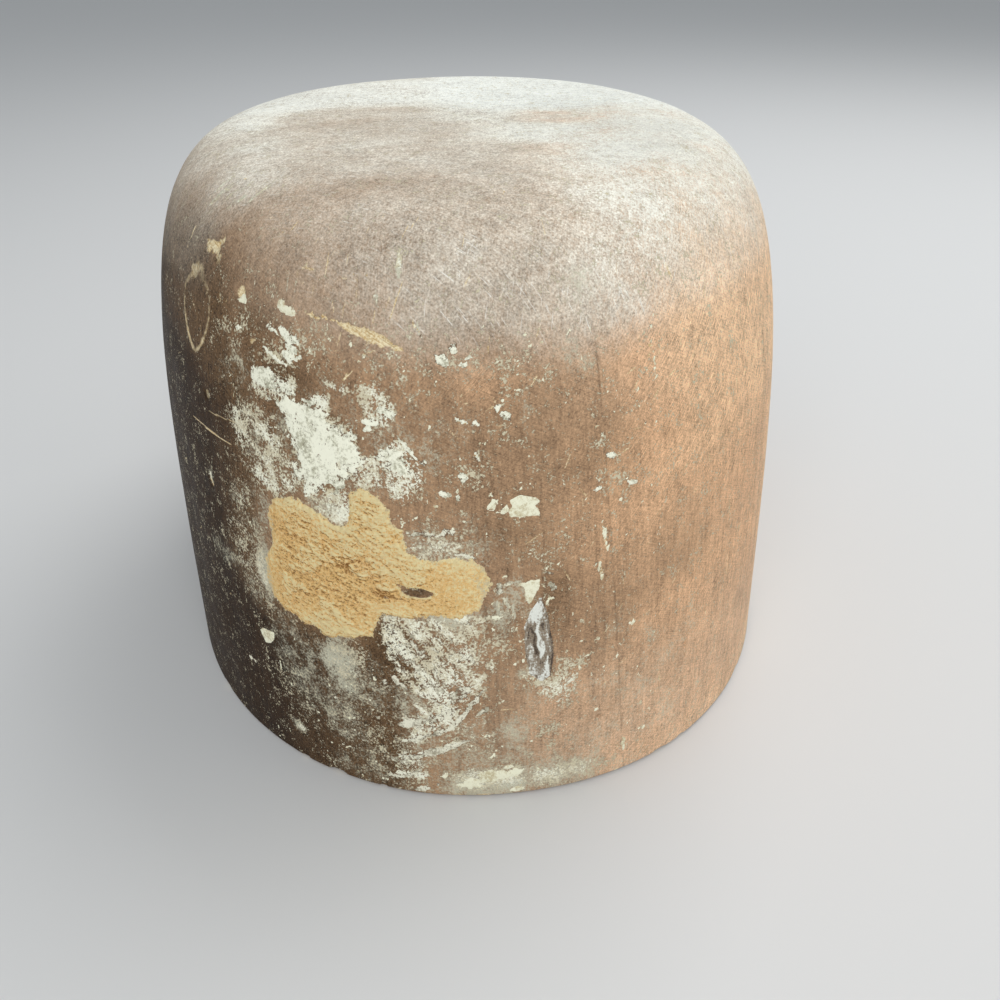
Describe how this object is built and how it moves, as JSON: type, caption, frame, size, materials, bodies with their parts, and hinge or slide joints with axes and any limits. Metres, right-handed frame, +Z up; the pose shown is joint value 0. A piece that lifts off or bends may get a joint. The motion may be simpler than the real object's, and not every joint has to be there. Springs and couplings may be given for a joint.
{
  "type": "hat block",
  "caption": "Oval wooden crown block with a gently domed top, flat base and peg socket, over which felt is pulled to shape a hat.",
  "frame": {"origin": "centre of the oval base on the surface that the block stands on", "axes": "+Z up through the crown, -Y towards the front that the picture shows, +X to the right as the front is faced"},
  "size_m": [0.164, 0.2, 0.131],
  "materials": {
    "worn_wood": "rubbed smooth by use, stained dark, with a chalky bloom on the crown and fine sanding scratches",
    "torn_paper": "fibrous brown paper, matte",
    "dried_glue": "hard, clouded, glossy in places"
  },
  "bodies": {
    "root": {"plank_left_2": "worn_wood", "plank_left_1": "worn_wood", "plank_middle": "worn_wood", "plank_right_1": "worn_wood", "plank_right_2": "worn_wood", "paper_scrap": "torn_paper", "glue_run": "dried_glue"}
  },
  "joints": []
}
